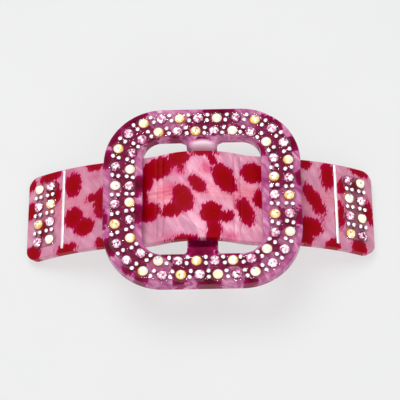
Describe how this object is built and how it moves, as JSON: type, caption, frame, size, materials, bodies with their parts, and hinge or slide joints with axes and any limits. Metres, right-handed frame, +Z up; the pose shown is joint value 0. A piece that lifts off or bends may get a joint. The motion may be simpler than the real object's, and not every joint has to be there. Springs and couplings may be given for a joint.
{
  "type": "hair clip",
  "caption": "Arched leopard-spotted hair clip: a strap threaded through a square buckle set with rhinestones and seed beads, with a hinged spring clip behind.",
  "frame": {"origin": "centre of the box's bottom, on the surface that the strap's two tips stand on", "axes": "+X along the strap, +Y to the back edge, +Z up through the crown of the strap"},
  "size_m": [0.096, 0.0524, 0.0185],
  "materials": {
    "strap_acetate": "polished marbled acetate, crimson spots on pale pink",
    "buckle_acetate": "polished marbled acetate, wine and lilac pink",
    "inlay": "gloss white",
    "rhinestone_pink": "foil-backed faceted glass, rose",
    "rhinestone_aurora": "foil-backed faceted glass, aurora coating",
    "bead_silver": "silvered glass seed bead",
    "glue": "clear cured resin",
    "clip_steel": "nickel-plated spring steel"
  },
  "bodies": {
    "clip_body": {"strap": "strap_acetate", "inlay_left": "inlay", "inlay_right": "inlay", "buckle": "buckle_acetate", "buckle_glue": "glue", "buckle_stones_pink": "rhinestone_pink", "buckle_stones_aurora": "rhinestone_aurora", "buckle_beads": "bead_silver", "buckle_stone_glue": "glue", "left_stones_pink": "rhinestone_pink", "left_stones_aurora": "rhinestone_aurora", "left_beads": "bead_silver", "left_stone_glue": "glue", "right_stones_pink": "rhinestone_pink", "right_stones_aurora": "rhinestone_aurora", "right_beads": "bead_silver", "right_stone_glue": "glue", "clip_base": "clip_steel", "clip_glue": "glue", "hinge_pin": "clip_steel", "tension_bar": "clip_steel", "latch_saddle": "clip_steel", "latch_rivets": "clip_steel"},
    "clasp": {"clasp_arm": "clip_steel"},
    "latch_front": {"latch_wing_front": "clip_steel"},
    "latch_back": {"latch_wing_back": "clip_steel"}
  },
  "joints": [
    {"name": "clasp_hinge", "type": "hinge", "parent": "clip_body", "child": "clasp", "pos_m": [-0.034, 0, 0.0029], "axis": [0, 1, 0], "range_deg": [0, 100]},
    {"name": "latch_squeeze_front", "type": "hinge", "parent": "clip_body", "child": "latch_front", "pos_m": [0.03216, -0.00215, 0.00532], "axis": [0.9624, 0, -0.2716], "range_deg": [0, 8], "stiffness_Nm_per_rad": 0.0002},
    {"name": "latch_squeeze_back", "type": "hinge", "parent": "clip_body", "child": "latch_back", "pos_m": [0.03216, 0.00215, 0.00532], "axis": [0.9624, 0, -0.2716], "range_deg": [-8, 0], "stiffness_Nm_per_rad": 0.0002}
  ],
  "couplings": [
    {"joint": "latch_squeeze_back", "follows": "latch_squeeze_front", "ratio": -1}
  ]
}
